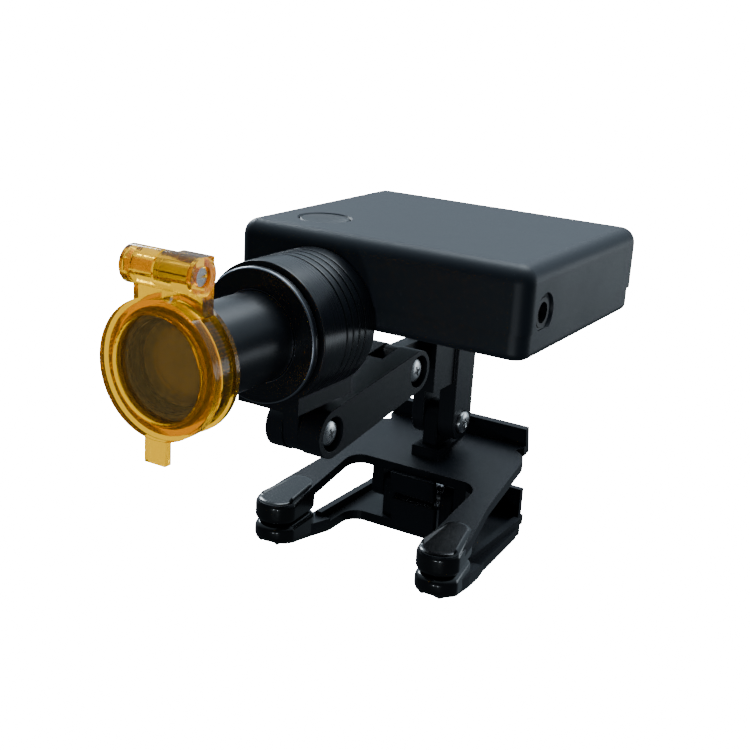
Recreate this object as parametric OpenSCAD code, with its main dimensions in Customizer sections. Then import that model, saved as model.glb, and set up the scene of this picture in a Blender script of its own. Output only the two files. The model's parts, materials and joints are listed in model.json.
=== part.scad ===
// Clip-on wireless headlight with a flip-up curing filter.
// +Z up, the lamp shines towards -Y, and the origin is the grip point between the four clip tips.

/* [Case] */
// Width of the battery case, along X
case_w = 57; // [54:0.5:62]
// Depth of the battery case, along Y
case_d = 49.6; // [48:0.2:54]
// Height of the battery case
case_h = 15.8; // [15.4:0.2:18]
// Radius of the case's corners and upper edges
case_r = 3; // [2.4:0.1:3.4]
// Height of the lower cover up to the seam
seam_h = 4.6; // [4:0.2:5.4]
// Wall thickness of both case shells
wall = 1.6; // [1.4:0.1:1.8]

/* [Lamp] */
// Height of the lamp axis above the grip point
lamp_z = 50.4; // [49:0.1:51]
// Radius of the grooved collar
collar_r = 12.2; // [12:0.1:12.6]
// Length of the grooved collar
collar_l = 15.5; // [15:0.1:16]
// Radius of the smooth barrel
barrel_r = 7.6; // [7.4:0.1:7.8]
// Outer radius of the filter ring
ring_r = 10.95; // [10.8:0.05:11.1]

/* [Bracket] */
// Radius of the rounded hinge ends
knuckle_r = 4.5; // [4.2:0.1:4.6]
// Width of the swing link, along X
link_w = 11.6; // [11:0.1:12]
// Thickness of each hinge tongue
tongue_t = 3.2; // [3:0.1:3.3]

/* [Clip] */
// Slope of the upper jaw, in degrees
jaw_slope = 10.7; // [10:0.1:11.5]
// Thickness of the jaw plates
jaw_t = 2.2; // [2:0.1:2.4]
// Gap between opposite grip pads when the clip is shut
pad_gap = 0.3; // [0.2:0.05:0.5]

/* [Hidden] */
$fn = 48;
e = 0.01;

case_x = -17.3;                       // left face of the case
case_y = -19;                         // front face of the case
case_z = 49.5;                        // underside of the case
seam_z = case_z + seam_h;
case_top = case_z + case_h;
inset = 0.3;                          // step of the lower cover inside the upper shell
case_screw_at = [[4.6, 4.6], [case_w - 15, 4.6], [4.6, case_d - 4.6], [case_w - 4.6, case_d - 4.6]];

button_x = -6.3;
button_y = -7.7;
button_r = 4.6;
button_lift = 0.2;                    // gap between the button's skirt and the ceiling
jack_y = -12;
jack_z = case_z + 7.4;
jack_hole_r = 2.6;
jack_bore_r = 1.8;
board_z = case_z + 7.6;
board_t = 1.2;

collar_front = case_y - collar_l;
groove_y = collar_front - 0.7;        // the dark gap before the flange
flange_y = groove_y - 1.3;
flange_r = 11.45;
neck_r = 9.6;
chamber_y = case_y - 5;               // rear wall of the lamp chamber
head_back = -54;
head_front = -58.6;
head_r = 9.4;
lens_r = 8.2;
holder_back = -55.1;
holder_front = -58.9;
frame_back = -59.2;
frame_front = -61.1;
window_r = 8.3;
filter_y = -60.5;                     // filter hinge axis
filter_z = lamp_z + 15.3;
filter_r = 2.9;
filter_x = 1.25;                      // split between frame knuckle and holder lug
filter_left = -5;
filter_right = 8.2;
filter_pin_r = 0.9;

front_y = -20.4;                      // hinge under the lamp
front_z = 30.1;
rear_y = 9.9;                         // hinge between link and post
rear_z = 34.4;
foot_y = 32.3;                        // hinge between post and clip
foot_z = 17.6;
link_x0 = -5.8;
link_x1 = link_x0 + link_w;
tongue_x = -2.05;
slot_x = tongue_x - 0.15;
slot_w = tongue_t + 0.3;
pivot_r = 1.25;                       // shank of the hinge screws
head_rad = 2.35;
head_t = 1.4;
recess_r = 3.2;
recess_d = 2.6;
nut_r = 2.5;
nut_t = 1.6;
running = 0.05;                       // radial clearance of every turning fit
link_angle = atan2(rear_z - front_z, rear_y - front_y);
link_len = norm([rear_y - front_y, rear_z - front_z]);
block_w = 12.5;
block_z = 36.9;
bracket_screw_y = -29.5;
slot_reach = 7.6;                     // room cut in the link around each tongue
post_w = 8;
post_top = 40.5;
post_roof = 27.1;                     // top of the slot that straddles the clip lug
post_lean = 0;
cheek_top = 30;
slab_y = 19.5;                        // front edge of the tongue's broad end
post_x1 = 5.1;
cheek_x0 = -5;

tip_y = -3.6;                         // front of the tips
jaw_z = 4;                            // top of the upper jaw at the tips
pin_y = 27;
pin_z = 1.6;
pin_r = 1.25;
jaw_pin_half = 11.6;
ear_r = 3;
lower_z = -6.8;                       // underside of the lower jaw
tip_x = 18.9;
tip_r = 4.2;
tip_v = 2.7;                          // distance of the tip's centre behind its front line
lip_v = 45.3;                         // distance of the finger lips behind the tips
lip_t = 1.5;
lip_half = 16.8;
pad_h = 2.1;
skirt_half = 5.2;                     // half width of the walls in front of the spring
rise_v = 16.6;                        // where the lower arms start to rise
rise = 10.6;
coil_r = 2.3;
wire_r = 0.4;
coil_turns = 11;
coil_pitch = 0.74;

// ---- helpers ----

// A cylinder along +X from x, centred on y and z
module rod_x(x, y, z, r, l, n = 48) {
    translate([x, y, z]) rotate([0, 90, 0]) cylinder(r = r, h = l, $fn = n);
}

// A cylinder along the lamp axis from y0 (nearer the case) to y1 (further forward)
module lamp_rod(y0, y1, r, n = 96) {
    translate([0, y0, lamp_z]) rotate([90, 0, 0]) cylinder(r = r, h = y0 - y1, $fn = n);
}

module lamp_tube(y0, y1, r, bore, n = 96) {
    difference() {
        lamp_rod(y0, y1, r, n);
        lamp_rod(y0 + 1, y1 - 1, bore, n);
    }
}

// Upright corner posts of a rounded slab that starts at the case's corner
module case_corners(cut, r) {
    for (x = [cut + r, case_w - cut - r], y = [cut + r, case_d - cut - r])
        translate([case_x + x, case_y + y, 0]) children();
}

// A pan-head screw along X with its head on the +X side, head face at x
module pan_screw(x, y, z, length) {
    difference() {
        union() {
            rod_x(x - head_t, y, z, head_rad, head_t);
            rod_x(x - head_t - length, y, z, pivot_r, length + e);
        }
        for (a = [0, 90]) translate([x - 0.8, y, z]) rotate([a, 0, 0])
            translate([0, -1.3, -0.25]) cube([1, 2.6, 0.5]);
    }
}

module hex_nut(x, y, z, t) {
    difference() {
        rod_x(x, y, z, nut_r, t, 6);
        rod_x(x - 1, y, z, pivot_r, t + 2);
    }
}

// The upper jaw's own plane: x across, y back from the tips, z up from the plate's top
module on_upper_jaw() {
    translate([0, tip_y, jaw_z]) rotate([jaw_slope, 0, 0]) children();
}

function arc(x, y, r, from, to, n) =
    [for (i = [0 : n]) let (t = from + (to - from) * i / n) [x + r * cos(t), y + r * sin(t)]];

function mirrored(points) = [for (i = [len(points) - 1 : -1 : 0]) [-points[i].x, points[i].y]];

// Right half of the plan outline that both jaws share, from the front edge round to the lip
jaw_edge = concat(
    arc(11.7, 22.5, 3.5, 90, 0, 6),
    [[15, 9]],
    arc(tip_x, tip_v, tip_r, 180, 360, 14),
    [[22.4, 9], [20.4, 20], [19, 38.6], [18.1, 41], [lip_half - 1.2, 42.7], [lip_half, 44.4],
        [lip_half, lip_v + lip_t]]);

module jaw_plan() {
    polygon(concat(jaw_edge, mirrored(jaw_edge)));
}

// Rounded end of an arm, which carries a rubber pad; grow widens the outline
module tip_prism(side, z0, z1, grow) {
    edge = concat(arc(tip_x, tip_v, tip_r + grow, 180, 360, 16),
        arc(18.6, 9, 3.4 + grow, 0, 180, 12));
    translate([0, tip_y, z0]) linear_extrude(z1 - z0)
        polygon(side > 0 ? edge : mirrored(edge));
}

module tip_pad(side, z0) {
    color("black") tip_prism(side, z0, z0 + pad_h, -0.6);
}

// ---- battery case ----

module case_top_shell() {
    color("#22262d") difference() {
        hull() {
            case_corners(0, case_r) translate([0, 0, case_top - case_r]) sphere(case_r, $fn = 32);
            case_corners(0, case_r) translate([0, 0, seam_z]) cylinder(r = case_r, h = 1, $fn = 32);
        }
        hull() case_corners(wall, 1.6)
            translate([0, 0, seam_z - 1]) cylinder(r = 1.6, h = case_h - seam_h - wall + 1, $fn = 32);
        translate([button_x, button_y, case_top - wall - 1]) cylinder(r = button_r + 0.15, h = 5);
        translate([case_x + case_w - wall - 1, jack_y, jack_z]) rotate([0, 90, 0])
            cylinder(r = jack_hole_r, h = wall + 2);
        for (side = [-1, 1]) rotate_to_front(side * 6, case_z + 9.2, 1.1);
        rotate_to_front(0, case_z + 7, 2.2);
    }
    color("#22262d") for (at = case_screw_at) translate([case_x + at[0], case_y + at[1], seam_z])
        difference() {
            cylinder(r = 2.4, h = case_h - seam_h - wall + e);
            translate([0, 0, -1]) cylinder(r = 0.9, h = 7.5);
        }
}

// A hole through the case's front wall at x, z
module rotate_to_front(x, z, r) {
    translate([x, case_y + wall + 1, z]) rotate([90, 0, 0]) cylinder(r = r, h = wall + 2);
}

module case_bottom_cover() {
    color("#22262d") difference() {
        hull() {
            case_corners(inset, case_r) translate([0, 0, seam_z - 0.5]) cylinder(r = case_r, h = 0.5, $fn = 32);
            case_corners(inset, case_r) translate([0, 0, case_z + 1.8]) cylinder(r = case_r, h = 1, $fn = 32);
            case_corners(inset + 1.3, case_r - 0.8) translate([0, 0, case_z]) cylinder(r = case_r - 0.8, h = 1, $fn = 32);
        }
        hull() case_corners(wall + inset, 1.6)
            translate([0, 0, case_z + wall]) cylinder(r = 1.6, h = seam_h, $fn = 32);
        cover_holes();
    }
    color("#22262d") difference() {
        for (at = case_screw_at) translate([case_x + at[0], case_y + at[1], case_z + wall - e])
            cylinder(r = 2.4, h = seam_h - wall + e);
        cover_holes();
    }
}

module cover_holes() {
    for (at = case_screw_at) translate([case_x + at[0], case_y + at[1], case_z - 1]) {
        cylinder(r = 1.15, h = seam_h + 2);
        cylinder(r = 1.9, h = 2.4);
    }
}

module case_screws() {
    color("dimgray") for (at = case_screw_at) translate([case_x + at[0], case_y + at[1], case_z + 0.2])
        difference() {
            union() {
                cylinder(r = 1.7, h = 1.2);
                cylinder(r = 0.9, h = 8.5);
            }
            for (a = [0, 90]) rotate([0, 0, a]) translate([-1.1, -0.2, -1]) cube([2.2, 0.4, 1.6]);
        }
}

module power_button() {
    color("#2b3038") translate([button_x, button_y, 0]) {
        difference() {
            translate([0, 0, case_top - 1.5]) cylinder(r = button_r, h = 1.4);
            translate([0, 0, case_top + 17.3]) sphere(17.8, $fn = 96);
        }
        translate([0, 0, case_top - wall - button_lift - 0.8]) cylinder(r = button_r + 0.9, h = 0.8);
        translate([0, 0, case_top - wall - button_lift - e]) cylinder(r = 3, h = wall + button_lift - 0.6);
    }
}

module push_switch() {
    color("#15171a") translate([button_x - 2.5, button_y - 2.5, board_z + board_t]) cube([5, 5, 3.2]);
    color("#15171a") translate([button_x, button_y, board_z + board_t + 3.1]) cylinder(r = 1.5, h = 0.6);
}

module circuit_board() {
    color("darkgreen") translate([-9.8, -15.8, board_z]) difference() {
        cube([31.6, 10.8, board_t]);
        for (x = [11.5, 29]) translate([x, 2.6, -1]) cylinder(r = 1, h = 4);
    }
}

module battery_cell() {
    color("silver") translate([-13.5, -4.4, case_z + wall + 0.2]) cube([49, 27.6, 9.8]);
}

module charge_jack() {
    color("#15171a") difference() {
        union() {
            translate([case_x + case_w - wall - 9, jack_y - 3.4, jack_z - 2.7]) cube([9, 6.8, 6.1]);
            translate([case_x + case_w - wall - e, jack_y, jack_z]) rotate([0, 90, 0])
                cylinder(r = jack_hole_r - 0.05, h = wall - 0.4);
        }
        translate([case_x + case_w - wall - 7, jack_y, jack_z]) rotate([0, 90, 0])
            cylinder(r = jack_bore_r, h = 12);
    }
}

module charge_jack_pin() {
    color("gold") translate([case_x + case_w - wall - 7, jack_y, jack_z]) rotate([0, 90, 0])
        cylinder(r = 0.65, h = 7);
}

// ---- lamp ----

module heat_sink_collar() {
    groove_at = [3, 4.9, 6.8, 8.7];
    color("#1b1d22") difference() {
        lamp_rod(case_y, collar_front, collar_r);
        lamp_rod(chamber_y, collar_front - 1, neck_r);
        for (g = groove_at) difference() {
            lamp_rod(case_y - g, case_y - g - 0.5, collar_r + 1);
            lamp_rod(case_y - g + 1, case_y - g - 2, collar_r - 0.45);
        }
        for (side = [-1, 1]) translate([side * 6, case_y + 1, case_z + 9.2]) rotate([90, 0, 0])
            cylinder(r = 0.9, h = 6);
        translate([0, case_y + 1, case_z + 7]) rotate([90, 0, 0]) cylinder(r = 2.2, h = 7);
        translate([0, bracket_screw_y, lamp_z - collar_r - 1]) cylinder(r = 0.9, h = 4.6);
    }
}

module collar_screws() {
    color("silver") for (side = [-1, 1]) translate([side * 6, case_y + wall + 1.2, case_z + 9.2])
        rotate([90, 0, 0]) {
            cylinder(r = 2, h = 1.2);
            cylinder(r = 0.9, h = 6.2);
        }
}

module flange_ring() {
    color("#1b1d22") {
        lamp_tube(groove_y, flange_y, flange_r, barrel_r + running);
        lamp_tube(groove_y + 4.2, groove_y - e, neck_r, barrel_r + running);
    }
}

module lens_barrel() {
    color("#2a2d33") difference() {
        union() {
            lamp_rod(groove_y + 5.8, groove_y + 4.4, neck_r - running);
            lamp_rod(groove_y + 4.5, head_back - 0.4, barrel_r);
            lamp_rod(head_back, head_front, head_r);
        }
        lamp_rod(groove_y + 6.6, head_front - 1, barrel_r - 1.1);
        lamp_rod(head_back - 0.8, head_front - 1, lens_r);
    }
}

module lens() {
    // flat rear, crowned front
    crown = 14;
    color("lightcyan") intersection() {
        lamp_rod(head_back - 0.8, head_front, lens_r);
        translate([0, head_back - 3.6 + crown, lamp_z]) sphere(crown, $fn = 96);
    }
}

module lens_retainer() {
    color("#1b1d22") lamp_tube(head_front + 1, head_front, lens_r, 7.2);
}

module led_board() {
    color("white") lamp_rod(chamber_y, chamber_y - 1.6, neck_r - 0.4);
}

module led_chip() {
    color("khaki") {
        translate([-1.8, chamber_y - 2.4, lamp_z - 1.8]) cube([3.6, 0.8, 3.6]);
        intersection() {
            translate([0, chamber_y - 2.4, lamp_z]) sphere(1.5);
            lamp_rod(chamber_y - 2.4 + e, chamber_y - 5, 3);
        }
    }
}

// ---- bracket ----

module bracket_block() {
    color("#2a2d33") difference() {
        union() {
            translate([-block_w / 2, -32.5, block_z]) cube([block_w, 16.5, 6.2]);
            rod_x(tongue_x, front_y, front_z, knuckle_r - 0.2, tongue_t);
            translate([tongue_x, front_y - knuckle_r + 0.2, front_z])
                cube([tongue_t, 2 * knuckle_r - 0.4, block_z - front_z + 1]);
        }
        lamp_rod(case_y, collar_front - 1, collar_r);
        translate([-block_w, case_y, block_z + 4]) cube([2 * block_w, 10, 10]);
        rod_x(tongue_x - 1, front_y, front_z, pivot_r + running, tongue_t + 2);
        translate([0, bracket_screw_y, block_z - 1]) {
            cylinder(r = 1.1, h = 6);
            cylinder(r = 1.8, h = 1.6);
        }
    }
}

module bracket_screw() {
    color("dimgray") translate([0, bracket_screw_y, block_z]) {
        cylinder(r = 1.7, h = 0.6);
        cylinder(r = 0.9, h = 3.6);
    }
}

module swing_link() {
    color("#2a2d33") difference() {
        translate([link_x0, front_y, front_z]) rotate([link_angle, 0, 0]) {
            rod_x(0, 0, 0, knuckle_r, link_w);
            rod_x(0, link_len, 0, knuckle_r - 0.3, link_w);
            rotate([90, 0, 90]) linear_extrude(link_w) polygon([[0, -knuckle_r], [0, knuckle_r],
                [link_len, knuckle_r - 0.3], [link_len, 0.3 - knuckle_r]]);
        }
        for (at = [[front_y, front_z, 0], [rear_y, rear_z, 180]])
            translate([slot_x, at[0], at[1]]) rotate([link_angle + at[2], 0, 0]) {
                rod_x(0, 0, 0, slot_reach, slot_w);
                translate([0, -12, -slot_reach]) cube([slot_w, 12, 2 * slot_reach]);
            }
        for (at = [[front_y, front_z], [rear_y, rear_z]]) {
            rod_x(link_x0 - 1, at[0], at[1], pivot_r, link_w + 2);
            rod_x(link_x1 - recess_d, at[0], at[1], recess_r, recess_d + 1);
            rod_x(link_x0 - 1, at[0], at[1], nut_r, 1 + nut_t, 6);
        }
    }
}

module link_pivot_screws() {
    color("silver") for (at = [[front_y, front_z], [rear_y, rear_z]])
        pan_screw(link_x1 - recess_d + head_t, at[0], at[1], link_w - recess_d);
}

module link_pivot_nuts() {
    color("silver") for (at = [[front_y, front_z], [rear_y, rear_z]])
        hex_nut(link_x0, at[0], at[1], nut_t);
}

module post_arm() {
    width = post_x1 - cheek_x0;
    color("#2a2d33") difference() {
        union() {
            difference() {
                translate([cheek_x0, foot_y, foot_z]) rotate([90 + post_lean, 0, 90])
                    linear_extrude(width) polygon(concat(arc(0, 0, post_w / 2, 180, 360, 20),
                        [[post_w / 2, post_top - foot_z - 1], [-post_w / 2, post_top - foot_z - 1]]));
                translate([cheek_x0 - 1, foot_y - 20, cheek_top])
                    cube([slot_x + slot_w - cheek_x0 + 1, 40, 30]);
                translate([slot_x, foot_y - 20, foot_z - 10])
                    cube([slot_w, 40, post_roof - foot_z + 10]);
            }
            rod_x(tongue_x, rear_y, rear_z, knuckle_r - 0.5, tongue_t);
            translate([tongue_x, rear_y, rear_z - knuckle_r + 0.7])
                cube([tongue_t, 12, 2 * knuckle_r - 1.4]);
            translate([tongue_x - 0.4, slab_y, post_roof])
                cube([post_x1 - tongue_x - 0.4, foot_y - slab_y, post_top - post_roof - 1.4]);
        }
        rod_x(tongue_x - 1, rear_y, rear_z, pivot_r + running, tongue_t + 2);
        rod_x(cheek_x0 - 1, foot_y, foot_z, pivot_r, width + 2);
        rod_x(post_x1 - 0.9, foot_y, foot_z, head_rad + 0.1, 2);
        rod_x(cheek_x0 - 1, foot_y, foot_z, nut_r, 1 + nut_t, 6);
    }
}

module clip_pivot_screw() {
    color("silver") pan_screw(post_x1 - 0.9 + head_t, foot_y, foot_z, post_x1 - 0.9 - cheek_x0);
}

module clip_pivot_nut() {
    color("silver") hex_nut(cheek_x0, foot_y, foot_z, nut_t);
}

// ---- clip ----

module upper_jaw() {
    color("#2a2d33") difference() {
        union() {
            on_upper_jaw() {
                translate([0, 0, -jaw_t]) linear_extrude(jaw_t) jaw_plan();
                translate([-lip_half, lip_v, -jaw_t]) cube([2 * lip_half, lip_t, jaw_t + 4]);
                translate([-skirt_half, 24.6, -6.4]) cube([2 * skirt_half, 1.4, 4.8]);
            }
            for (side = [-1, 1]) tip_prism(side, pad_gap / 2 + pad_h - 0.4, 4.6, 0.1);
            for (x = [-11.4, 8.6]) {
                rod_x(x, pin_y, pin_z, ear_r, 2.8);
                translate([x, pin_y - ear_r, pin_z]) cube([2.8, 2 * ear_r, 6.6]);
            }
            rod_x(tongue_x, foot_y, foot_z, 3.8, tongue_t);
            translate([tongue_x, foot_y - 3.8, 9.4]) cube([tongue_t, 7.6, foot_z - 9.4]);
            translate([-3.6, foot_y - 5.6, 8.4]) cube([6.4, 11, 3.6]);
        }
        rod_x(tongue_x - 1, foot_y, foot_z, pivot_r + running, tongue_t + 2);
        rod_x(-13, pin_y, pin_z, pin_r, 26);
        for (side = [-1, 1]) tip_pad(side, pad_gap / 2);
    }
}

module lower_jaw() {
    color("#2a2d33") difference() {
        union() {
            // flat rear part, and arms that rise towards the tips
            translate([0, tip_y, lower_z]) linear_extrude(jaw_t) intersection() {
                jaw_plan();
                translate([-30, rise_v - 0.4]) square([60, 60]);
            }
            translate([0, tip_y + rise_v, lower_z]) rotate([-rise, 0, 0]) linear_extrude(jaw_t + 0.6)
                intersection() {
                    translate([0, -rise_v]) jaw_plan();
                    translate([-30, -30]) square([60, 30]);
                }
            // side rims and front wall of the rear part
            for (side = [-1, 1]) translate([side * 17.9 - 0.8, tip_y + rise_v, lower_z])
                cube([1.6, 24.4, jaw_t + 1.6]);
            translate([-skirt_half, tip_y + 26, lower_z]) cube([2 * skirt_half, 1.4, 7.2]);
            translate([-lip_half, tip_y + lip_v - 1.2, lower_z]) cube([2 * lip_half, lip_t, 9]);
            for (side = [-1, 1]) tip_prism(side, -4.4, -pad_gap / 2 - pad_h + 0.4, 0.1);
            for (x = [-8.3, 5.5]) {
                rod_x(x, pin_y, pin_z, ear_r, 2.8);
                translate([x, pin_y - ear_r, lower_z + 1]) cube([2.8, 2 * ear_r, pin_z - lower_z - 1]);
            }
        }
        translate([0, tip_y + rise_v, lower_z]) rotate([-rise, 0, 0])
            translate([-30, -30, -8]) cube([60, 30, 8]);
        rod_x(-13, pin_y, pin_z, pin_r + running, 26);
        for (side = [-1, 1]) tip_pad(side, -pad_gap / 2 - pad_h);
    }
}

module jaw_pin() {
    color("silver") rod_x(-jaw_pin_half, pin_y, pin_z, pin_r, 2 * jaw_pin_half);
}

// A close-wound coil on the pin, with the leg that bears on the upper plate
module jaw_spring() {
    color("silver") {
        translate([-coil_turns * coil_pitch / 2, pin_y, pin_z]) rotate([0, 90, 0]) rotate_extrude()
            for (k = [0 : coil_turns - 1]) translate([coil_r, (k + 0.5) * coil_pitch]) circle(r = wire_r, $fn = 24);
        spring_wire(-3.6, 28.5, 10.2);
    }
}

// The free leg, which bears on the lower jaw
module spring_leg() {
    color("silver") spring_wire(4.75, -30, 7.6);
}

// A straight leg that leaves the coil at a tangent, pitched up by the given angle
module spring_wire(x, pitch, length) {
    side = sign(pitch);
    translate([x, pin_y - side * coil_r * sin(pitch), pin_z + side * coil_r * cos(pitch)])
        rotate([pitch - 90, 0, 0]) cylinder(r = wire_r, h = length, $fn = 24);
}

module upper_left_pad() { tip_pad(-1, pad_gap / 2); }
module upper_right_pad() { tip_pad(1, pad_gap / 2); }
module lower_left_pad() { tip_pad(-1, -pad_gap / 2 - pad_h); }
module lower_right_pad() { tip_pad(1, -pad_gap / 2 - pad_h); }

// ---- curing filter ----

module filter_holder() {
    color("orange") difference() {
        union() {
            lamp_tube(holder_back, holder_front, ring_r - 0.6, head_r);
            lamp_tube(holder_back, holder_back - 0.9, ring_r, head_r);
            lamp_tube(head_front, holder_front, ring_r - 0.6, window_r);
            rod_x(filter_x + 0.15, filter_y, filter_z, filter_r, filter_right - filter_x - 0.15);
            translate([filter_x + 0.15, holder_front, lamp_z + 8.6]) cube([5.4, 2.6, filter_z - lamp_z - 6.4]);
            translate([filter_x + 0.15, filter_y, filter_z]) cube([5.4, 3.9, filter_r - 0.6]);
        }
        lamp_rod(holder_back + 5, head_front, head_r);
        rod_x(0, filter_y, filter_z, filter_pin_r, 12);
        rod_x(filter_right - 1.4, filter_y, filter_z, 1.55, 3);
    }
}

module filter_frame() {
    color("orange") difference() {
        union() {
            lamp_tube(frame_back, frame_front, ring_r, window_r);
            rod_x(filter_left, filter_y, filter_z, filter_r, filter_x - 0.15 - filter_left);
            translate([filter_left + 0.8, frame_front, lamp_z + 9.2])
                cube([filter_x - 0.15 - filter_left - 0.8, frame_back - frame_front, 6]);
            translate([-2.3, frame_front + 0.3, lamp_z - 14.9]) cube([4, 1.4, 5]);
        }
        rod_x(filter_left - 1, filter_y, filter_z, filter_pin_r + running, 12);
        rod_x(filter_left - 1, filter_y, filter_z, 1.6, 2.3);
        lamp_rod(frame_back + 1, frame_back - 1.1, window_r + 0.5);
    }
}

module filter_window() {
    color("darkorange") lamp_rod(frame_back, frame_back - 1.1, window_r + 0.5);
}

module filter_hinge_screw() {
    color("silver") difference() {
        union() {
            rod_x(filter_right - 1.4, filter_y, filter_z, 1.4, 1);
            rod_x(filter_left + 0.2, filter_y, filter_z, filter_pin_r, filter_right - filter_left - 1.5);
        }
        translate([filter_right - 0.8, filter_y - 1.5, filter_z - 0.2]) cube([1, 3, 0.4]);
    }
}

module filter_hinge_nut() {
    color("silver") difference() {
        rod_x(filter_left, filter_y, filter_z, 1.5, 1.2, 6);
        rod_x(filter_left - 1, filter_y, filter_z, filter_pin_r, 4);
    }
}

case_top_shell();
case_bottom_cover();
case_screws();
power_button();
push_switch();
circuit_board();
battery_cell();
charge_jack();
charge_jack_pin();
heat_sink_collar();
collar_screws();
flange_ring();
lens_barrel();
lens();
lens_retainer();
led_board();
led_chip();
bracket_block();
bracket_screw();
swing_link();
link_pivot_screws();
link_pivot_nuts();
post_arm();
clip_pivot_screw();
clip_pivot_nut();
upper_jaw();
lower_jaw();
jaw_pin();
jaw_spring();
spring_leg();
upper_left_pad();
upper_right_pad();
lower_left_pad();
lower_right_pad();
filter_holder();
filter_frame();
filter_window();
filter_hinge_screw();
filter_hinge_nut();
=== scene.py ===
import json
import math

import bmesh
import bpy
from mathutils import Matrix, Vector


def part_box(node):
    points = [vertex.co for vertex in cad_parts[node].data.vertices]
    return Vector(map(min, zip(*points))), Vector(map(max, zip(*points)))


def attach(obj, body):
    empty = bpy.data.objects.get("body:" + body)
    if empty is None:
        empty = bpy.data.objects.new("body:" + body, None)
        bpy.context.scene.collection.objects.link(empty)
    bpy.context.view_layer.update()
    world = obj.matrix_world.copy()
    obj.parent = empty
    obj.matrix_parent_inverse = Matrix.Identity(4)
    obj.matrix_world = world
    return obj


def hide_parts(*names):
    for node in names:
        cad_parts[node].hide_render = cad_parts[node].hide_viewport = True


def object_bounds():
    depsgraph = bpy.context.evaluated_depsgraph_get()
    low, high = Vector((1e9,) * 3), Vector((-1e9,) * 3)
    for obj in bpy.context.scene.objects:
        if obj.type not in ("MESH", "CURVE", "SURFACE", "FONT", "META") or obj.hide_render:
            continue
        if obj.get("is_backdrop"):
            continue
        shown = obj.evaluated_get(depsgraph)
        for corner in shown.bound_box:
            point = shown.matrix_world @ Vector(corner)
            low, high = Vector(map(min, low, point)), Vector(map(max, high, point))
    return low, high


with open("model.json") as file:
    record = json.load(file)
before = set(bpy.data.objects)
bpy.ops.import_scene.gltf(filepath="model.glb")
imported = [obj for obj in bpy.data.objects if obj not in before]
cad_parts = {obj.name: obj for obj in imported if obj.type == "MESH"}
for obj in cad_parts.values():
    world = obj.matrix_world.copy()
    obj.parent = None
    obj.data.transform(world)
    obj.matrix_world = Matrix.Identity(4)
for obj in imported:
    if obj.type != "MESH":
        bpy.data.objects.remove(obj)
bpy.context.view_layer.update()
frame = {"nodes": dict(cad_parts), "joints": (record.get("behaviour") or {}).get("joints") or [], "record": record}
scene = bpy.context.scene
mm = 0.001

# ---- camera, floor and light ----

cameraSettings = {"place": (114.38, -194.09, 106.73), "turn": (72.305, -3.322, 31.205), "lens": 59.52}

cameraData = bpy.data.cameras.new("camera")
cameraData.lens = cameraSettings["lens"]
cameraData.sensor_width = 36
cameraData.clip_start = 0.01
camera = bpy.data.objects.new("camera", cameraData)
camera.location = Vector(cameraSettings["place"]) * mm
camera.rotation_euler = [math.radians(a) for a in cameraSettings["turn"]]
scene.collection.objects.link(camera)
scene.camera = camera

lightSettings = {
    # place in mm, size in mm, power in watts, aimed at the middle of the object
    "overhead": ((-20, 220, 520), 420, 2.0),
    "rightSide": ((300, 430, 20), 240, 0.26),
    "leftBack": ((-360, 200, 260), 140, 1.0),
    "sparkRight": ((190, -390, -90), 12, 0.12),
    "sparkLeft": ((50, -430, -70), 12, 0.12),
}

for lightName, (place, size, power) in lightSettings.items():
    lightData = bpy.data.lights.new(lightName, "AREA")
    lightData.shape = "DISK"
    lightData.size = size * mm
    lightData.energy = power
    lightData.color = (0.84, 0.93, 1.0)
    light = bpy.data.objects.new(lightName, lightData)
    light.location = Vector(place) * mm
    aim = Vector((0, -10, 40)) * mm - light.location
    light.rotation_euler = aim.to_track_quat("-Z", "Y").to_euler()
    scene.collection.objects.link(light)


def mathNode(tree, operation, *values):
    node = tree.nodes.new("ShaderNodeMath")
    node.operation = operation
    for at, value in enumerate(values):
        if isinstance(value, (int, float)):
            node.inputs[at].default_value = value
        else:
            tree.links.new(value, node.inputs[at])
    return node.outputs[0]


worldSettings = {"seen": 24.0, "through": 1.5, "up": 0.62, "back": 0.50, "right": -0.20, "base": 0.03,
                 "least": 0.055, "tint": (0.70, 0.86, 1.0, 1), "plain": (1, 1, 1, 1)}


def makeWorld():
    # a white studio with its softboxes above, behind and to the right, and dark flags in front
    world = bpy.data.worlds.new("studio")
    scene.world = world
    world.use_nodes = True
    tree = world.node_tree
    tree.nodes.clear()
    path = tree.nodes.new("ShaderNodeLightPath")
    direction = tree.nodes.new("ShaderNodeTexCoord").outputs["Generated"]
    split = tree.nodes.new("ShaderNodeSeparateXYZ")
    tree.links.new(direction, split.inputs[0])
    glow = worldSettings["base"]
    for axis, key in (("X", "right"), ("Y", "back"), ("Z", "up")):
        part = mathNode(tree, "MULTIPLY", split.outputs[axis], worldSettings[key])
        glow = mathNode(tree, "ADD", part, glow)
    glow = mathNode(tree, "MAXIMUM", glow, worldSettings["least"])
    through = mathNode(tree, "MULTIPLY", path.outputs["Is Transmission Ray"], worldSettings["through"])
    seen = mathNode(tree, "MULTIPLY", path.outputs["Is Camera Ray"], worldSettings["seen"])
    shown = mathNode(tree, "MAXIMUM", through, seen)
    back = tree.nodes.new("ShaderNodeBackground")
    direct = mathNode(tree, "MAXIMUM", path.outputs["Is Transmission Ray"], path.outputs["Is Camera Ray"])
    tint = tree.nodes.new("ShaderNodeMix")
    tint.data_type = "RGBA"
    tint.inputs["A"].default_value = worldSettings["tint"]
    tint.inputs["B"].default_value = worldSettings["plain"]
    tree.links.new(direct, tint.inputs["Factor"])
    tree.links.new(tint.outputs["Result"], back.inputs["Color"])
    tree.links.new(mathNode(tree, "MAXIMUM", glow, shown), back.inputs["Strength"])
    out = tree.nodes.new("ShaderNodeOutputWorld")
    tree.links.new(back.outputs[0], out.inputs["Surface"])


makeWorld()

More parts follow.
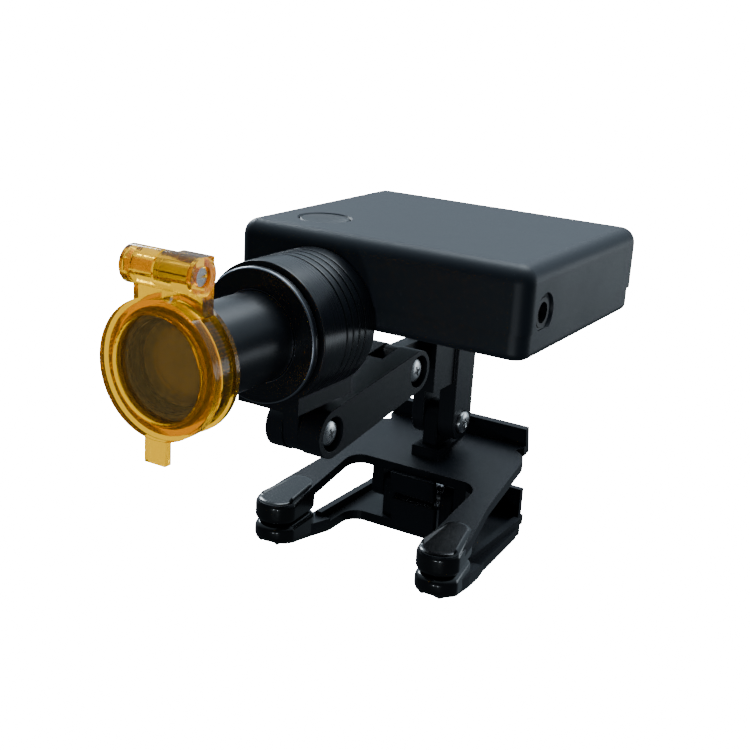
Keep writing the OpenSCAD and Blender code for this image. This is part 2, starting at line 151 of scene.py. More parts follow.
floorSettings = {"half": 40.0, "height": -0.16, "colour": (0.93, 0.93, 0.93, 1), "glow": 24.0}


def makeFloor():
    bm = bmesh.new()
    bmesh.ops.create_grid(bm, x_segments=1, y_segments=1, size=floorSettings["half"])
    bmesh.ops.translate(bm, verts=bm.verts[:], vec=(0, 0, floorSettings["height"]))
    mesh = bpy.data.meshes.new("floor")
    bm.to_mesh(mesh)
    bm.free()
    floor = bpy.data.objects.new("floor", mesh)
    scene.collection.objects.link(floor)
    material = bpy.data.materials.new("paleFloor")
    material.use_nodes = True
    shader = material.node_tree.nodes["Principled BSDF"]
    shader.inputs["Base Color"].default_value = floorSettings["colour"]
    shader.inputs["Roughness"].default_value = 0.9
    shader.inputs["Emission Color"].default_value = (1, 1, 1, 1)
    shader.inputs["Emission Strength"].default_value = floorSettings["glow"]
    mesh.materials.append(material)
    floor.visible_diffuse = floor.visible_glossy = floor.visible_transmission = False
    floor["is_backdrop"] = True


makeFloor()
print("camera, floor and light ready")

# ---- shared surface effects ----


def newGroup(name, ins, outs):
    group = bpy.data.node_groups.new(name, "ShaderNodeTree")
    for label, kind, value in ins:
        socket = group.interface.new_socket(label, in_out="INPUT", socket_type=kind)
        socket.default_value = value
    for label, kind in outs:
        group.interface.new_socket(label, in_out="OUTPUT", socket_type=kind)
    return group, group.nodes.new("NodeGroupInput"), group.nodes.new("NodeGroupOutput")


def noiseNode(tree, vector, scale, detail=3.0, rough=0.55):
    node = tree.nodes.new("ShaderNodeTexNoise")
    node.inputs["Detail"].default_value = detail
    node.inputs["Roughness"].default_value = rough
    tree.links.new(vector, node.inputs["Vector"])
    if isinstance(scale, (int, float)):
        node.inputs["Scale"].default_value = scale
    else:
        tree.links.new(scale, node.inputs["Scale"])
    return node.outputs["Fac"]


def mixColours(tree, factor, first, second):
    node = tree.nodes.new("ShaderNodeMix")
    node.data_type = "RGBA"
    tree.links.new(factor, node.inputs["Factor"])
    tree.links.new(first, node.inputs["A"])
    tree.links.new(second, node.inputs["B"])
    return node.outputs["Result"]


def makeMouldedGrain():
    # fine moulded texture with faint cloudy polish marks and sparse dust
    tree, given, out = newGroup(
        "mouldedGrain",
        [("Colour", "NodeSocketColor", (0.03, 0.03, 0.035, 1)),
         ("Worn Colour", "NodeSocketColor", (0.06, 0.06, 0.07, 1)),
         ("Roughness", "NodeSocketFloat", 0.5), ("Spread", "NodeSocketFloat", 0.12),
         ("Grain Scale", "NodeSocketFloat", 4000.0)],
        [("Colour", "NodeSocketColor"), ("Roughness", "NodeSocketFloat"), ("Height", "NodeSocketFloat")])
    place = tree.nodes.new("ShaderNodeTexCoord").outputs["Object"]
    fine = noiseNode(tree, place, given.outputs["Grain Scale"], 2.0)
    cloud = noiseNode(tree, place, 90.0, 4.0)
    speck = noiseNode(tree, place, 1400.0, 1.0)
    dust = mathNode(tree, "MULTIPLY", mathNode(tree, "GREATER_THAN", speck, 0.74), 0.5)
    worn = mathNode(tree, "ADD", mathNode(tree, "MULTIPLY", cloud, 0.35), dust)
    tree.links.new(mixColours(tree, worn, given.outputs["Colour"], given.outputs["Worn Colour"]),
                   out.inputs["Colour"])
    swing = mathNode(tree, "MULTIPLY", mathNode(tree, "SUBTRACT", mathNode(tree, "ADD", cloud, fine), 1.0),
                     given.outputs["Spread"])
    tree.links.new(mathNode(tree, "ADD", given.outputs["Roughness"], swing), out.inputs["Roughness"])
    tree.links.new(fine, out.inputs["Height"])
    return tree


def makeTurnedLines():
    # lathe lines that run round an axis along Y, through the given height
    tree, given, out = newGroup(
        "turnedLines",
        [("Colour", "NodeSocketColor", (0.02, 0.02, 0.025, 1)),
         ("Bright Colour", "NodeSocketColor", (0.06, 0.06, 0.07, 1)),
         ("Roughness", "NodeSocketFloat", 0.3), ("Spread", "NodeSocketFloat", 0.12),
         ("Axis Height", "NodeSocketFloat", 0.0504)],
        [("Colour", "NodeSocketColor"), ("Roughness", "NodeSocketFloat"), ("Height", "NodeSocketFloat")])
    place = tree.nodes.new("ShaderNodeTexCoord").outputs["Object"]
    split = tree.nodes.new("ShaderNodeSeparateXYZ")
    tree.links.new(place, split.inputs[0])
    up = mathNode(tree, "SUBTRACT", split.outputs["Z"], given.outputs["Axis Height"])
    squares = mathNode(tree, "ADD", mathNode(tree, "MULTIPLY", split.outputs["X"], split.outputs["X"]),
                       mathNode(tree, "MULTIPLY", up, up))
    radius = mathNode(tree, "SQRT", squares)
    join = tree.nodes.new("ShaderNodeCombineXYZ")
    tree.links.new(radius, join.inputs["X"])
    tree.links.new(split.outputs["Y"], join.inputs["Y"])
    lines = noiseNode(tree, join.outputs[0], 5200.0, 2.0)
    smudge = noiseNode(tree, place, 160.0, 3.0)
    tree.links.new(mixColours(tree, smudge, given.outputs["Colour"], given.outputs["Bright Colour"]),
                   out.inputs["Colour"])
    swing = mathNode(tree, "MULTIPLY", mathNode(tree, "SUBTRACT", mathNode(tree, "ADD", lines, smudge),
        1.0), given.outputs["Spread"])
    tree.links.new(mathNode(tree, "ADD", given.outputs["Roughness"], swing), out.inputs["Roughness"])
    tree.links.new(lines, out.inputs["Height"])
    return tree


mouldedGrain = makeMouldedGrain()
turnedLines = makeTurnedLines()


def makeMaterial(name, effect, values, bump, **constants):
    # effect drives colour, roughness and bump; constants are set straight on the shader
    material = bpy.data.materials.new(name)
    material.use_nodes = True
    tree = material.node_tree
    shader = tree.nodes["Principled BSDF"]
    detail = tree.nodes.new("ShaderNodeGroup")
    detail.node_tree = effect
    for label, value in values.items():
        detail.inputs[label].default_value = value
    relief = tree.nodes.new("ShaderNodeBump")
    relief.inputs["Strength"].default_value = bump[0]
    relief.inputs["Distance"].default_value = bump[1] * mm
    tree.links.new(detail.outputs["Height"], relief.inputs["Height"])
    tree.links.new(relief.outputs["Normal"], shader.inputs["Normal"])
    tree.links.new(detail.outputs["Colour"], shader.inputs["Base Color"])
    tree.links.new(detail.outputs["Roughness"], shader.inputs["Roughness"])
    for label, value in constants.items():
        shader.inputs[label.replace("_", " ")].default_value = value
    return material


casePlastic = makeMaterial(
    "softBlackPlastic", mouldedGrain,
    {"Colour": (0.013, 0.018, 0.027, 1), "Worn Colour": (0.026, 0.034, 0.046, 1), "Roughness": 0.46,
     "Spread": 0.10, "Grain Scale": 5200.0}, (0.35, 0.02))
buttonPlastic = makeMaterial(
    "buttonPlastic", mouldedGrain,
    {"Colour": (0.020, 0.023, 0.029, 1), "Worn Colour": (0.040, 0.045, 0.052, 1), "Roughness": 0.42,
     "Spread": 0.10, "Grain Scale": 6000.0}, (0.3, 0.02))
# bracket and clip base colours are set darker than the case's; part of that darkening is painted shade, standing
# in for the shadow the case casts over them
bracketPlastic = makeMaterial(
    "bracketPlastic", mouldedGrain,
    {"Colour": (0.009, 0.011, 0.016, 1), "Worn Colour": (0.026, 0.029, 0.036, 1), "Roughness": 0.40,
     "Spread": 0.14, "Grain Scale": 3600.0}, (0.45, 0.03), Specular_IOR_Level=0.36)
clipPlastic = makeMaterial(
    "clipPlastic", mouldedGrain,
    {"Colour": (0.007, 0.009, 0.013, 1), "Worn Colour": (0.020, 0.023, 0.030, 1), "Roughness": 0.38,
     "Spread": 0.14, "Grain Scale": 3200.0}, (0.45, 0.03), Specular_IOR_Level=0.22)
darkPlastic = makeMaterial(
    "darkPlastic", mouldedGrain,
    {"Colour": (0.006, 0.006, 0.008, 1), "Worn Colour": (0.02, 0.02, 0.022, 1), "Roughness": 0.45,
     "Spread": 0.1, "Grain Scale": 3000.0}, (0.3, 0.02))
padRubber = makeMaterial(
    "padRubber", mouldedGrain,
    {"Colour": (0.004, 0.004, 0.005, 1), "Worn Colour": (0.014, 0.014, 0.017, 1), "Roughness": 0.22,
     "Spread": 0.12, "Grain Scale": 1500.0}, (0.25, 0.03), Coat_Weight=0.3, Coat_Roughness=0.12)
blackAluminium = makeMaterial(
    "blackAluminium", turnedLines,
    {"Colour": (0.007, 0.008, 0.011, 1), "Bright Colour": (0.014, 0.016, 0.021, 1), "Roughness": 0.28,
     "Spread": 0.06},
    (0.10, 0.02))
barrelBlack = makeMaterial(
    "barrelBlack", turnedLines,
    {"Colour": (0.007, 0.008, 0.011, 1), "Bright Colour": (0.014, 0.016, 0.021, 1), "Roughness": 0.34,
     "Spread": 0.06},
    (0.10, 0.02))
# painted highlight: bright metal put on the lamp's chamfer faces so that their edges read as thin highlight lines
edgeHighlightMetal = makeMaterial(
    "edgeHighlightMetal", turnedLines,
    {"Colour": (0.26, 0.28, 0.32, 1), "Bright Colour": (0.50, 0.53, 0.58, 1), "Roughness": 0.34,
     "Spread": 0.12},
    (0.1, 0.02), Metallic=1.0)
brightSteel = makeMaterial(
    "brightSteel", mouldedGrain,
    {"Colour": (0.86, 0.86, 0.86, 1), "Worn Colour": (0.62, 0.62, 0.62, 1), "Roughness": 0.30, "Spread": 0.16,
     "Grain Scale": 1800.0}, (0.25, 0.02), Metallic=1.0)
springSteel = makeMaterial(
    "springSteel", mouldedGrain,
    {"Colour": (0.5, 0.5, 0.52, 1), "Worn Colour": (0.3, 0.3, 0.32, 1), "Roughness": 0.3, "Spread": 0.16,
     "Grain Scale": 2600.0}, (0.25, 0.02), Metallic=1.0)
blackSteel = makeMaterial(
    "blackSteel", mouldedGrain,
    {"Colour": (0.02, 0.02, 0.022, 1), "Worn Colour": (0.10, 0.10, 0.105, 1), "Roughness": 0.34,
     "Spread": 0.14, "Grain Scale": 2200.0}, (0.3, 0.02), Metallic=0.8)
cellFoil = makeMaterial(
    "cellFoil", mouldedGrain,
    {"Colour": (0.62, 0.63, 0.65, 1), "Worn Colour": (0.45, 0.46, 0.48, 1), "Roughness": 0.35, "Spread": 0.2,
     "Grain Scale": 700.0}, (0.5, 0.08), Metallic=0.9)
boardGreen = makeMaterial(
    "boardGreen", mouldedGrain,
    {"Colour": (0.012, 0.10, 0.045, 1), "Worn Colour": (0.03, 0.17, 0.08, 1), "Roughness": 0.3, "Spread": 0.1,
     "Grain Scale": 1300.0}, (0.3, 0.03))
jackBrass = makeMaterial(
    "jackBrass", mouldedGrain,
    {"Colour": (0.62, 0.42, 0.14, 1), "Worn Colour": (0.40, 0.27, 0.10, 1), "Roughness": 0.25, "Spread": 0.12,
     "Grain Scale": 2600.0}, (0.2, 0.02), Metallic=1.0)
whiteBoard = makeMaterial(
    "whiteBoard", mouldedGrain,
    {"Colour": (0.72, 0.73, 0.74, 1), "Worn Colour": (0.6, 0.6, 0.6, 1), "Roughness": 0.5, "Spread": 0.1,
     "Grain Scale": 2600.0}, (0.2, 0.02))
ledPhosphor = makeMaterial(
    "ledPhosphor", mouldedGrain,
    {"Colour": (0.86, 0.70, 0.16, 1), "Worn Colour": (0.9, 0.8, 0.3, 1), "Roughness": 0.25, "Spread": 0.1,
     "Grain Scale": 2600.0}, (0.2, 0.02))
amberPlastic = makeMaterial(
    "amberPlastic", mouldedGrain,
    {"Colour": (0.80, 0.47, 0.002, 1), "Worn Colour": (0.70, 0.31, 0.001, 1), "Roughness": 0.10,
     "Spread": 0.08, "Grain Scale": 1400.0}, (0.35, 0.05), Transmission_Weight=0.95, IOR=1.49)
amberWindow = makeMaterial(
    "amberWindow", mouldedGrain,
    {"Colour": (0.66, 0.47, 0.16, 1), "Worn Colour": (0.56, 0.39, 0.12, 1), "Roughness": 0.05, "Spread": 0.04,
     "Grain Scale": 300.0}, (0.05, 0.02), Transmission_Weight=0.95, IOR=1.49)
lensGlass = makeMaterial(
    "lensGlass", mouldedGrain,
    {"Colour": (0.95, 0.98, 0.99, 1), "Worn Colour": (0.92, 0.96, 0.98, 1), "Roughness": 0.03, "Spread": 0.02,
     "Grain Scale": 200.0},
    (0.02, 0.02), Transmission_Weight=1.0, IOR=1.5, Coat_Weight=0.4, Coat_Roughness=0.02)
print("materials ready")

slotMaterials = {
    "soft_black": casePlastic, "black_steel": blackSteel, "button_grey": buttonPlastic,
    "black_plastic": darkPlastic, "board_green": boardGreen, "cell_foil": cellFoil,
    "jack_brass": jackBrass, "black_aluminium": blackAluminium, "clear_glass": lensGlass,
    "white_board": whiteBoard, "led_yellow": ledPhosphor, "bracket_black": bracketPlastic,
    "bright_steel": brightSteel, "clip_black": clipPlastic, "spring_steel": springSteel,
    "pad_rubber": padRubber, "amber_plastic": amberPlastic, "amber_window": amberWindow,
}
slotOf = {row["node"]: row["material_slot"] for row in frame["record"]["subparts"]}
bodyOf = {node: body for body, members in frame["record"]["behaviour"]["bodies"].items() for node in members}
for node, cadPart in frame["nodes"].items():
    cadPart.data.materials.clear()
    cadPart.data.materials.append(slotMaterials[slotOf[node]])

# ---- modelling helpers ----


def finishPiece(bm, name, nodes, material=None, sharp=34):
    # turns the bmesh into a shown piece that stands for the given CAD nodes
    bmesh.ops.remove_doubles(bm, verts=bm.verts[:], dist=1e-6)
    bmesh.ops.recalc_face_normals(bm, faces=bm.faces[:])
    for face in bm.faces:
        face.smooth = True
    for edge in bm.edges:
        edge.smooth = not (len(edge.link_faces) == 2 and edge.calc_face_angle(0) > math.radians(sharp))
    mesh = bpy.data.meshes.new(name)
    bm.to_mesh(mesh)
    bm.free()
    piece = bpy.data.objects.new(name, mesh)
    scene.collection.objects.link(piece)
    mesh.materials.append(material or slotMaterials[slotOf[nodes[0]]])
    weighted = piece.modifiers.new("evenNormals", "WEIGHTED_NORMAL")
    weighted.keep_sharp = True
    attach(piece, bodyOf[nodes[0]])
    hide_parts(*nodes)
    return piece


def isClosed(bm):
    return all(len(edge.link_faces) == 2 for edge in bm.edges)


def softenedCopy(node, width, segments=2, sharp=30):
    # a merged copy of a CAD part with its hard edges rounded over, as wide as the mesh can take and stay
    # closed
    for share in (1, 0.8, 0.6, 0.45, 0.3, 0.15):
        for merge, flat in ((2, 0.6), (0.5, 0.1), (5, 0.6), (2, 3)):
            bm = bmesh.new()
            bm.from_mesh(frame["nodes"][node].data)
            bmesh.ops.remove_doubles(bm, verts=bm.verts[:], dist=merge * 1e-6)
            bmesh.ops.dissolve_limit(bm, angle_limit=math.radians(flat), verts=bm.verts[:], edges=bm.edges[:])
            hard = [e for e in bm.edges if len(e.link_faces) == 2
                    and e.calc_face_angle(0) > math.radians(sharp)]
            bmesh.ops.bevel(bm, geom=hard, offset=width * share * mm, segments=segments, profile=0.5,
                            affect="EDGES", clamp_overlap=True, material=-1)
            bmesh.ops.remove_doubles(bm, verts=bm.verts[:], dist=1e-6)
            if isClosed(bm):
                print(node, "softened by", round(width * share, 2), "mm")
                return bm
            bm.free()
    print(node, "keeps its own edges")
    return None


def rounded(points, radius, closed=False):
    # cuts each corner of a profile back to a small three-point round
    made = []
    count = len(points)
    for at, point in enumerate(points):
        if not closed and at in (0, count - 1):
            made.append(Vector(point))
            continue
        here = Vector(point)
        before, after = Vector(points[at - 1]) - here, Vector(points[(at + 1) % count]) - here
        cut = min(radius, before.length * 0.45, after.length * 0.45)
        start, end = here + before.normalized() * cut, here + after.normalized() * cut
        made += [start, start * 0.25 + here * 0.5 + end * 0.25, end]
    return made


def turned(profile, centre, axis, side, steps=96, closed=False, bm=None):
    # spins (distance along the axis, radius) points, in mm, round an axis
    bm = bm or bmesh.new()
    centre, axis, side = Vector(centre) * mm, Vector(axis), Vector(side)
    verts = [bm.verts.new(centre + axis * p[0] * mm + side * p[1] * mm) for p in profile]
    pairs = list(zip(verts, verts[1:])) + ([(verts[-1], verts[0])] if closed else [])
    edges = [bm.edges.new(pair) for pair in pairs]
    bmesh.ops.spin(bm, geom=verts + edges, cent=centre, axis=axis, angle=2 * math.pi, steps=steps,
                   use_merge=True)
    bmesh.ops.remove_doubles(bm, verts=bm.verts[:], dist=1e-7)
    return bm


def cutWith(bm, cutter):
    # subtracts one closed bmesh from another with the boolean modifier and gives back the result
    solids = []
    for name, source in (("work", bm), ("cutter", cutter)):
        bmesh.ops.recalc_face_normals(source, faces=source.faces[:])
        mesh = bpy.data.meshes.new(name)
        source.to_mesh(mesh)
        source.free()
        solid = bpy.data.objects.new(name, mesh)
        scene.collection.objects.link(solid)
        solids.append(solid)
    cut = solids[0].modifiers.new("cut", "BOOLEAN")
    cut.operation = "DIFFERENCE"
    cut.solver = "EXACT"
    cut.object = solids[1]
    bpy.context.view_layer.update()
    result = bmesh.new()
    result.from_object(solids[0], bpy.context.evaluated_depsgraph_get())
    if not result.faces:
        raise ValueError("a cut left nothing")
    for solid in solids:
        mesh = solid.data
        bpy.data.objects.remove(solid)
        bpy.data.meshes.remove(mesh)
    return result


# ---- battery case ----

caseSettings = {"corner": 3.0, "rim": 2.9, "foot": 1.4, "wall": 1.6, "cutDepth": 4, "clear": 1,
                "well": 4.75, "wellMouth": 5.3, "lead": 0.3,
                "inlet": 2.6, "inletRing": 3.25, "inletMouth": 3.45, "ringDepth": 0.45, "step": 0.1}


def makeShell(low, high, rim, openTop):
    bm = bmesh.new()
    size = high - low
    bmesh.ops.create_cube(bm, size=1, matrix=Matrix.Translation((low + high) / 2)
                          @ Matrix.Diagonal((*size, 1)))
    upright = [e for e in bm.edges if abs(e.verts[0].co.z - e.verts[1].co.z) > 1e-4]
    bmesh.ops.bevel(bm, geom=upright, offset=caseSettings["corner"] * mm, segments=10, profile=0.5,
                    affect="EDGES", material=-1)
    closedZ, openZ = (low.z, high.z) if openTop else (high.z, low.z)
    loop = [e for e in bm.edges if all(abs(v.co.z - closedZ) < 1e-6 for v in e.verts)]
    bmesh.ops.bevel(bm, geom=loop, offset=rim * mm, segments=8, profile=0.5, affect="EDGES", material=-1)
    lid = [f for f in bm.faces if all(abs(v.co.z - openZ) < 1e-6 for v in f.verts)]
    bmesh.ops.delete(bm, geom=lid, context="FACES_ONLY")
    bmesh.ops.recalc_face_normals(bm, faces=bm.faces[:])
    bmesh.ops.solidify(bm, geom=bm.faces[:], thickness=caseSettings["wall"] * mm)
    return bm


def makeCase():
    c = caseSettings
    low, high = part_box("case_top_shell")
    bm = makeShell(low, high, c["rim"], False)
    top = high.z / mm
    buttonLow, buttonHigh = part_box("power_button")
    middle = (buttonLow + buttonHigh) / 2 / mm
    well = [(top - c["cutDepth"], 0), (top - c["cutDepth"], c["well"]), (top - c["lead"], c["well"]),
            (top + c["lead"], c["wellMouth"]), (top + c["clear"], c["wellMouth"]), (top + c["clear"], 0)]
    bm = cutWith(bm, turned(well, (middle.x, middle.y, 0), (0, 0, 1), (1, 0, 0), 64))
    jackLow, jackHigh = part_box("charge_jack_pin")
    jack = (jackLow + jackHigh) / 2 / mm
    face = high.x / mm
    hole = [(face - c["cutDepth"], 0), (face - c["cutDepth"], c["inlet"]),
            (face - c["ringDepth"] - c["step"], c["inlet"]), (face - c["ringDepth"], c["inletRing"]),
            (face + c["step"], c["inletMouth"]), (face + c["clear"], c["inletMouth"]), (face + c["clear"], 0)]
    bm = cutWith(bm, turned(hole, (0, jack.y, jack.z), (1, 0, 0), (0, 0, 1), 48))
    finishPiece(bm, "caseTop", ["case_top_shell"])
    low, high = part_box("case_bottom_cover")
    bm = makeShell(low, high, c["foot"], True)
    finishPiece(bm, "caseBase", ["case_bottom_cover"])


makeCase()


# dish: distance from the middle and depth below the rim
buttonSettings = {"foot": 5.5, "footHigh": 0.8, "radius": 4.6, "shoulder": 0.25,
                  "dish": ((4.3, 0), (3.8, 0.12), (2.8, 0.34), (1.5, 0.5), (0, 0.55))}


def makeButton():
    b = buttonSettings
    low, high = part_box("power_button")
    middle, top = (low + high) / 2 / mm, high.z / mm
    foot = low.z / mm
    profile = [(foot, 0), (foot, b["foot"]), (foot + b["footHigh"], b["foot"]),
               (foot + b["footHigh"], b["radius"]), (top - b["shoulder"], b["radius"])]
    profile += [(top - deep, r) for r, deep in b["dish"]]
    bm = turned(rounded(profile, 0.15), (middle.x, middle.y, 0), (0, 0, 1), (1, 0, 0), 72)
    finishPiece(bm, "powerButton", ["power_button"], sharp=50)


makeButton()
print("case ready")

# ---- lamp ----

lampHeight = (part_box("heat_sink_collar")[0].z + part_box("heat_sink_collar")[1].z) / 2 / mm
collarSettings = {"radius": 12.2, "rear": -19, "front": -34.5, "grooves": (3, 4.9, 6.8, 8.7), "width": 0.3,
                  "depth": 0.35, "flank": 0.05, "bore": 9.6, "chamber": -24}


def lampTurned(profile, closed=False, steps=128):
    return turned(profile, (0, 0, lampHeight), (0, 1, 0), (0, 0, 1), steps, closed)


def paintEdgeHighlights(piece, low, high):
    # painted highlight: narrow chamfers that run round the lamp get a bright bare-metal material that stands in
    # for edge highlights
    piece.data.materials.append(edgeHighlightMetal)
    for face in piece.data.polygons:
        if low < abs(face.normal.y) < high:
            face.material_index = 1


# places along the lamp's axis and radii, in millimetres
flangeSettings = {"front": -36.5, "bevelBack": -36.2, "lipBack": -35.2, "back": -31,
                  "bore": 7.65, "face": 11.2, "radius": 11.45, "tail": 9.6}
barrelSettings = {"back": -29.4, "collarFront": -30.8, "tubeFront": -53.2, "headBack": -54,
                  "seat": -54.8, "front": -58.6,
                  "bore": 6.5, "collar": 9.55, "tube": 7.6, "flare": 8.0, "head": 9.4, "mouth": 8.2}
retainerSettings = {"back": -57.6, "front": -58.6, "lipBack": -58.3, "inner": 7.2, "outer": 8.2, "lip": 7.6}
lensSettings = {"back": -54.8, "domeBack": -55.0, "rim": 8.1, "radius": 7.8, "crown": 14.0, "steps": 12}


def makeLamp():
    s = collarSettings
    outline = [(s["rear"], 0), (s["rear"], s["radius"])]
    for start in s["grooves"]:
        y = s["rear"] - start
        outline += [(y, s["radius"]), (y - s["flank"], s["radius"] - s["depth"]),
                    (y - s["width"], s["radius"] - s["depth"]), (y - s["width"] - s["flank"], s["radius"])]
    outline += [(s["front"], s["radius"]), (s["front"], s["bore"]), (s["chamber"], s["bore"]),
                (s["chamber"], 0)]
    paintEdgeHighlights(finishPiece(lampTurned(rounded(outline, 0.22)), "collar", ["heat_sink_collar"]), 0.55, 0.85)
    f = flangeSettings
    flange = [(f["front"], f["bore"]), (f["front"], f["face"]), (f["bevelBack"], f["radius"]),
              (f["lipBack"], f["radius"]), (f["lipBack"], f["tail"]), (f["back"], f["tail"]),
              (f["back"], f["bore"])]
    paintEdgeHighlights(finishPiece(lampTurned(rounded(flange, 0.2, True), True), "flange", ["flange_ring"]), 0.2,
                0.97)
    b = barrelSettings
    barrel = [(b["back"], b["bore"]), (b["back"], b["collar"]), (b["collarFront"], b["collar"]),
              (b["collarFront"], b["tube"]), (b["tubeFront"], b["tube"]), (b["headBack"], b["flare"]),
              (b["headBack"], b["head"]), (b["front"], b["head"]), (b["front"], b["mouth"]),
              (b["seat"], b["mouth"]), (b["seat"], b["bore"])]
    barrelPiece = finishPiece(lampTurned(rounded(barrel, 0.14, True), True), "barrel", ["lens_barrel"],
                              barrelBlack)
    paintEdgeHighlights(barrelPiece, 0.55, 0.85)
    r = retainerSettings
    retainer = [(r["back"], r["inner"]), (r["back"], r["outer"]), (r["front"], r["outer"]),
                (r["front"], r["lip"]), (r["lipBack"], r["inner"])]
    finishPiece(lampTurned(rounded(retainer, 0.12, True), True), "retainer", ["lens_retainer"])
    g = lensSettings
    dome = [(g["back"], 0), (g["back"], g["rim"])]
    edgeRise = math.sqrt(g["crown"] ** 2 - g["radius"] ** 2)
    for step in range(g["steps"] + 1):
        reach = g["radius"] * (1 - step / g["steps"])
        dome.append((g["domeBack"] - (math.sqrt(g["crown"] ** 2 - reach ** 2) - edgeRise), reach))
    finishPiece(lampTurned(dome), "lensDome", ["lens"], sharp=50)


makeLamp()
print("lamp ready")

# ---- curing filter ----


def makeSoftened(node, name, width, segments):
    bm = softenedCopy(node, width, segments)
    if bm:
        finishPiece(bm, name, [node])


windowSettings = {"back": -59.25, "front": -60.25, "radius": 8.75}


def makeFilter():
    makeSoftened("filter_holder", "filterHolder", 0.35, 3)
    makeSoftened("filter_frame", "filterFrame", 0.4, 3)
    w = windowSettings
    window = [(w["back"], 0), (w["back"], w["radius"]), (w["front"], w["radius"]), (w["front"], 0)]
    finishPiece(lampTurned(rounded(window, 0.2)), "filterWindow", ["filter_window"])


makeFilter()
print("filter ready")

# ---- bracket ----

softened = {
    "bracket_block": ("bracketBlock", 0.45, 3), "swing_link": ("swingLink", 0.5, 3),
    "post_arm": ("postArm", 0.4, 3), "upper_jaw": ("upperJaw", 0.4, 3),
    "lower_jaw": ("lowerJaw", 0.4, 3),
}
for node, (pieceName, width, segments) in softened.items():
    makeSoftened(node, pieceName, width, segments)

# rubber boots: each one wraps the end of its arm; face and rise give the arm's outer surface, height
# against distance
bootSettings = {"wide": 1.26, "long": 1.13, "skin": 0.35, "round": 1.3,
                "upper": {"least": 4.6, "face": 4.68, "rise": 0.189},
                "lower": {"least": 3.5, "face": 4.37, "rise": 0.187}}


def makeBoot(node):
    s = bootSettings
    level, side = node.split("_")[:2]
    arm = s[level]
    sign = 1 if level == "upper" else -1
    low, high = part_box(node)
    middle = (low + high) / 2
    bm = bmesh.new()
    bm.from_mesh(frame["nodes"][node].data)
    bmesh.ops.remove_doubles(bm, verts=bm.verts[:], dist=2e-6)
    bmesh.ops.dissolve_limit(bm, angle_limit=math.radians(0.6), verts=bm.verts[:], edges=bm.edges[:])
    outer = [v for v in bm.verts if (v.co.z - middle.z) * sign > 0]
    bmesh.ops.scale(bm, vec=(s["wide"], s["long"], 1), verts=bm.verts[:], space=Matrix.Translation(-middle))
    for vert in outer:
        height = max(arm["least"], arm["face"] + arm["rise"] * vert.co.y / mm) + s["skin"]
        vert.co.z = sign * height * mm
    hard = [e for e in bm.edges if len(e.link_faces) == 2 and e.calc_face_angle(0) > math.radians(40)]
    bmesh.ops.bevel(bm, geom=hard, offset=s["round"] * mm, segments=5, profile=0.5, affect="EDGES",
                    clamp_overlap=True, material=-1)
    finishPiece(bm, level + side.capitalize() + "Boot", [node])


for level in ("upper", "lower"):
    for side in ("left", "right"):
        makeBoot(level + "_" + side + "_pad")
print("bracket and clip ready")

screwSettings = {"radius": 2.35, "height": 1.4, "dome": 0.45, "shank": 1.25, "crown": 0.12,
                 "crownShare": 0.62, "slot": (1.5, 2.9, 0.55), "slotTurn": 0.35, "slotTaper": 0.5}


def makeScrews(name, node, places, face, tail):
    # pan-head screws along X with a cross recess; face is the x of the head's crown
    s = screwSettings
    made = bmesh.new()
    for y, z in places:
        head = [(tail, 0), (tail, s["shank"]), (face - s["height"], s["shank"]),
                (face - s["height"], s["radius"]), (face - s["dome"], s["radius"]),
                (face - s["crown"], s["radius"] * s["crownShare"]), (face, 0)]
        screw = turned(rounded(head, 0.25), (0, y, z), (1, 0, 0), (0, 0, 1), 48)
        for turn in (s["slotTurn"], s["slotTurn"] + math.pi / 2):
            slot = bmesh.new()
            place = Matrix.Translation(Vector((face, y, z)) * mm) @ Matrix.Rotation(turn, 4, "X")
            bmesh.ops.create_cube(slot, size=1, matrix=Matrix.Diagonal((*(Vector(s["slot"]) * mm), 1)))
            for vert in slot.verts:
                if vert.co.x < 0:
                    vert.co.y *= s["slotTaper"]
            bmesh.ops.transform(slot, matrix=place, verts=slot.verts[:])
            screw = cutWith(screw, slot)
        mesh = bpy.data.meshes.new("screw")
        screw.to_mesh(mesh)
        screw.free()
        made.from_mesh(mesh)
        bpy.data.meshes.remove(mesh)
    finishPiece(made, name, [node])


def screwPlaces(node):
    # middles of the screw heads, found from the hinges that they hold
    hinges = {j["name"]: j["pos_m"] for j in frame["joints"] if "pos_m" in j}
    wanted = {"link_pivot_screws": ("head_hinge", "link_hinge"), "clip_pivot_screw": ("post_hinge",)}[node]
    return [(hinges[h][1] / mm, hinges[h][2] / mm) for h in wanted]


for node, pieceName, lift in (("link_pivot_screws", "linkPivotScrews", 0.85),
                              ("clip_pivot_screw", "clipPivotScrew", 0.5)):
    low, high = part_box(node)
    makeScrews(pieceName, node, screwPlaces(node), high.x / mm + lift, low.x / mm)
print("screws ready")

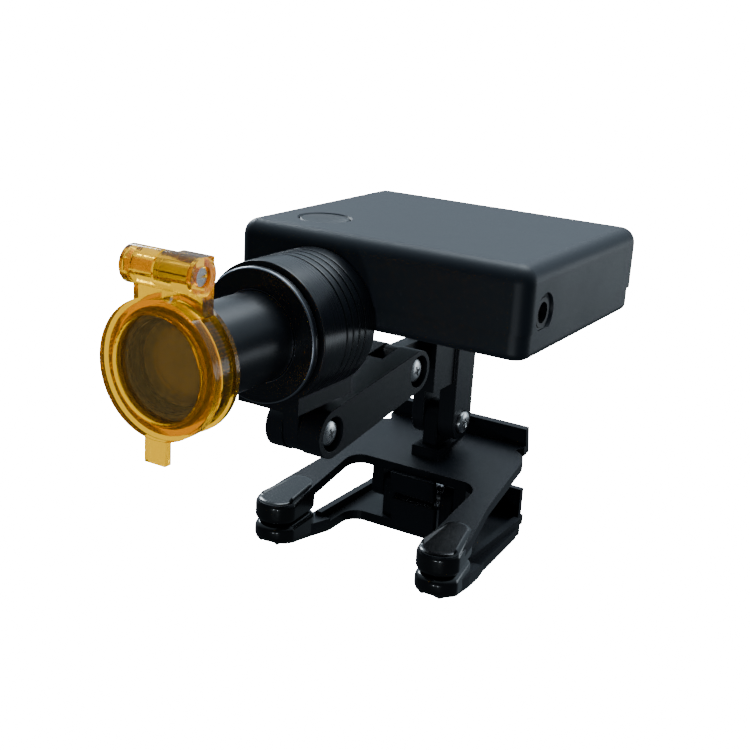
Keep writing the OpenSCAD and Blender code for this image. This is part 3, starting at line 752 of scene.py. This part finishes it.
springSettings = {"turns": 10, "coil": 2.3, "wire": 0.4, "half": 3.7, "steps": 28,
                  "legs": ((-3.7, 28.5, 10.2), (3.7, -30, 7.4))}


def makeSpring():
    # a wire circle swept round the pin while it moves along it, then a straight leg at each end
    s = springSettings
    pin = Vector(frame["record"]["behaviour"]["joints"][0]["pos_m"])
    steps = s["steps"] * s["turns"]
    bm = bmesh.new()
    wireStart = pin + Vector((-s["half"], 0, s["coil"])) * mm
    start = Matrix.Translation(wireStart) @ Matrix.Rotation(math.pi / 2, 4, "X")
    ring = bmesh.ops.create_circle(bm, segments=12, radius=s["wire"] * mm, matrix=start,
                                   cap_ends=False)["verts"]
    edges = list({e for v in ring for e in v.link_edges})
    bmesh.ops.spin(bm, geom=ring + edges, cent=pin, axis=(1, 0, 0), angle=2 * math.pi * s["turns"],
                   steps=steps, dvec=Vector((2 * s["half"] / steps, 0, 0)) * mm, use_merge=False)
    bmesh.ops.holes_fill(bm, edges=[e for e in bm.edges if e.is_boundary], sides=0)
    finishPiece(bm, "springCoil", ["jaw_spring"], sharp=60)
    for x, pitch, length in s["legs"]:
        side = 1 if pitch > 0 else -1
        angle = math.radians(pitch)
        root = pin + Vector((x, -side * s["coil"] * math.sin(angle), side * s["coil"] * math.cos(angle))) * mm
        along = Vector((0, math.cos(angle), math.sin(angle)))
        leg = bmesh.new()
        lean = along.to_track_quat("Z", "Y").to_matrix().to_4x4()
        place = Matrix.Translation(root + along * length * mm / 2) @ lean
        bmesh.ops.create_cone(leg, cap_ends=True, segments=16, radius1=s["wire"] * mm, radius2=s["wire"] * mm,
                              depth=length * mm, matrix=place)
        rims = [e for e in leg.edges if len(e.link_faces) == 2 and e.calc_face_angle(0) > 1]
        bmesh.ops.bevel(leg, geom=rims, offset=0.15 * mm, segments=2, profile=0.5, affect="EDGES",
                        material=-1)
        finishPiece(leg, "springLegUpper" if side > 0 else "springLegLower",
                    ["jaw_spring" if side > 0 else "spring_leg"])


makeSpring()
print("spring ready")

low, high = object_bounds()
